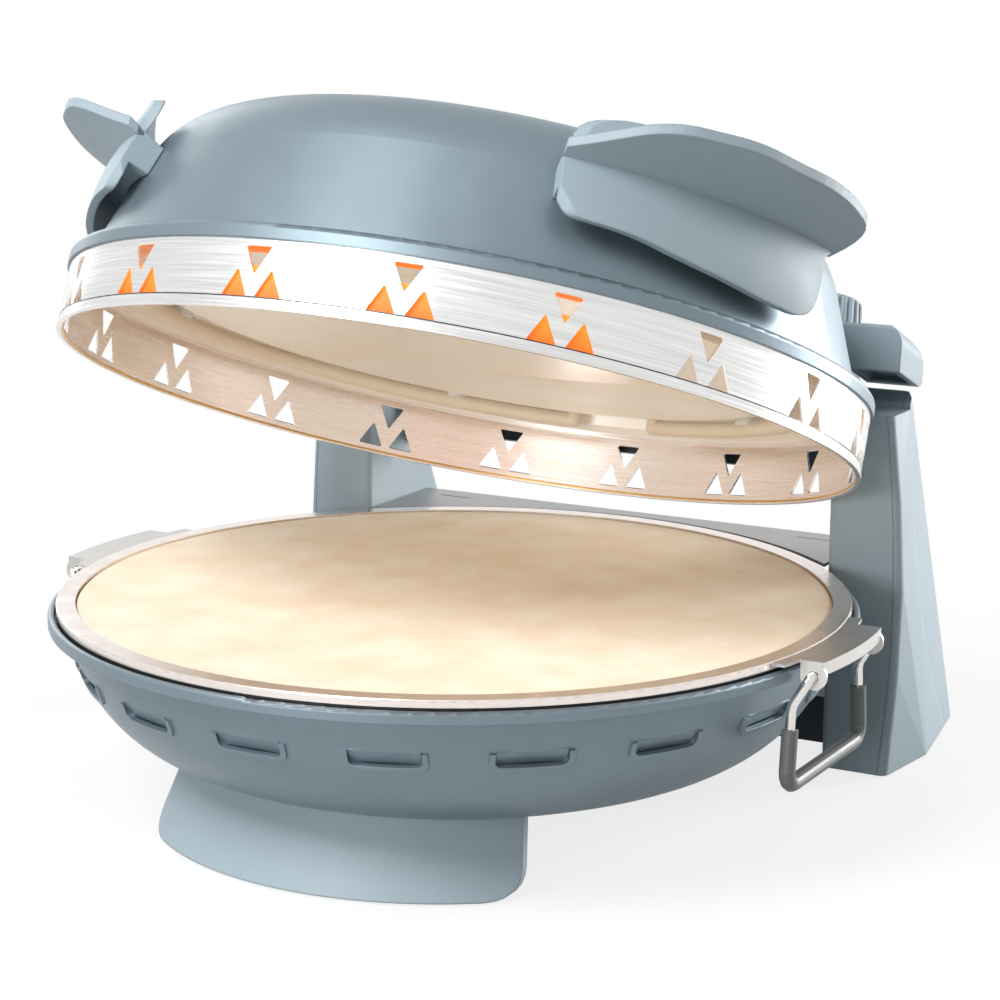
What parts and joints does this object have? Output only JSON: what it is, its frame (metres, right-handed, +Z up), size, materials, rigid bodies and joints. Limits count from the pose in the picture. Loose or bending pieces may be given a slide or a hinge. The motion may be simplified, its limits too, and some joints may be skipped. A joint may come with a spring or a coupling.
{
  "type": "electric pizza maker",
  "caption": "Tabletop pizza oven: louvred bowl holding a baking stone in a tray with swing handles, under a domed hinged lid with a vented ring, swept side wings and a rotary control.",
  "frame": {"origin": "on the table, under the axis of the bowl", "axes": "+Z up, -Y to the front, +X to the side that carries the control"},
  "size_m": [0.368, 0.409, 0.3108],
  "materials": {
    "base_bowl": "satin",
    "seat_ring": "satin black",
    "bowl_liner": "bright",
    "liner_spacers": "plain",
    "lower_heating_element": "dark oxidised",
    "element_clips": "plain",
    "lower_thermostat": "plain",
    "base_frame": "moulded",
    "front_foot": "moulded",
    "rubber_feet": "matt",
    "left_tower": "moulded",
    "right_tower": "moulded",
    "left_tower_cover": "moulded",
    "right_tower_cover": "moulded",
    "rear_deck": "brushed",
    "hinge_pins": "turned",
    "power_inlet": "moulded",
    "base_screws": "plain",
    "stone_tray": "bright",
    "left_bracket": "brushed",
    "right_bracket": "brushed",
    "pizza_stone": "smooth fired",
    "left_bail": "bright",
    "right_bail": "bright",
    "left_grip": "sleeve",
    "right_grip": "sleeve",
    "lid_dome": "satin",
    "lid_band": "satin",
    "vented_ring": "brushed",
    "lid_reflector": "bright",
    "upper_heating_element": "glowing",
    "element_insulators": "matt",
    "left_wing": "moulded",
    "right_wing": "moulded",
    "left_arm": "moulded",
    "right_arm": "moulded",
    "hinge_bridge": "satin",
    "lid_screws": "plain",
    "control_knob": "fluted",
    "knob_shaft": "turned"
  },
  "bodies": {
    "base": {"base_bowl": "base_bowl", "seat_ring": "seat_ring", "bowl_liner": "bowl_liner", "liner_spacers": "liner_spacers", "lower_heating_element": "lower_heating_element", "element_clips": "element_clips", "lower_thermostat": "lower_thermostat", "base_frame": "base_frame", "front_foot": "front_foot", "rubber_feet": "rubber_feet", "left_tower": "left_tower", "right_tower": "right_tower", "left_tower_cover": "left_tower_cover", "right_tower_cover": "right_tower_cover", "rear_deck": "rear_deck", "hinge_pins": "hinge_pins", "power_inlet": "power_inlet", "base_screws": "base_screws"},
    "tray": {"stone_tray": "stone_tray", "left_bracket": "left_bracket", "right_bracket": "right_bracket"},
    "stone": {"pizza_stone": "pizza_stone"},
    "left_handle": {"left_bail": "left_bail", "left_grip": "left_grip"},
    "right_handle": {"right_bail": "right_bail", "right_grip": "right_grip"},
    "lid": {"lid_dome": "lid_dome", "lid_band": "lid_band", "vented_ring": "vented_ring", "lid_reflector": "lid_reflector", "upper_heating_element": "upper_heating_element", "element_insulators": "element_insulators", "left_wing": "left_wing", "right_wing": "right_wing", "left_arm": "left_arm", "right_arm": "right_arm", "hinge_bridge": "hinge_bridge", "lid_screws": "lid_screws"},
    "knob": {"control_knob": "control_knob", "knob_shaft": "knob_shaft"}
  },
  "joints": [
    {"name": "lid_hinge", "type": "hinge", "parent": "base", "child": "lid", "pos_m": [0, 0.17, 0.1335], "axis": [-1, 0, 0], "range_deg": [-22.2, 77.8]},
    {"name": "knob_turn", "type": "hinge", "parent": "lid", "child": "knob", "pos_m": [0.102, 0.15359, 0.18988], "axis": [0, 0.3778, 0.9259], "range_deg": [-270, 0]},
    {"name": "tray_lift", "type": "slide", "parent": "base", "child": "tray", "axis": [0, 0, 1], "range_m": [0, 0.007]},
    {"name": "stone_lift", "type": "slide", "parent": "tray", "child": "stone", "axis": [0, 0, 1], "range_m": [0, 0.007]},
    {"name": "left_handle_swing", "type": "hinge", "parent": "tray", "child": "left_handle", "pos_m": [-0.1772, 0, 0.0904], "axis": [0, 1, 0], "range_deg": [-5, 165]},
    {"name": "right_handle_swing", "type": "hinge", "parent": "tray", "child": "right_handle", "pos_m": [0.1772, 0, 0.0904], "axis": [0, -1, 0], "range_deg": [-5, 165]}
  ]
}
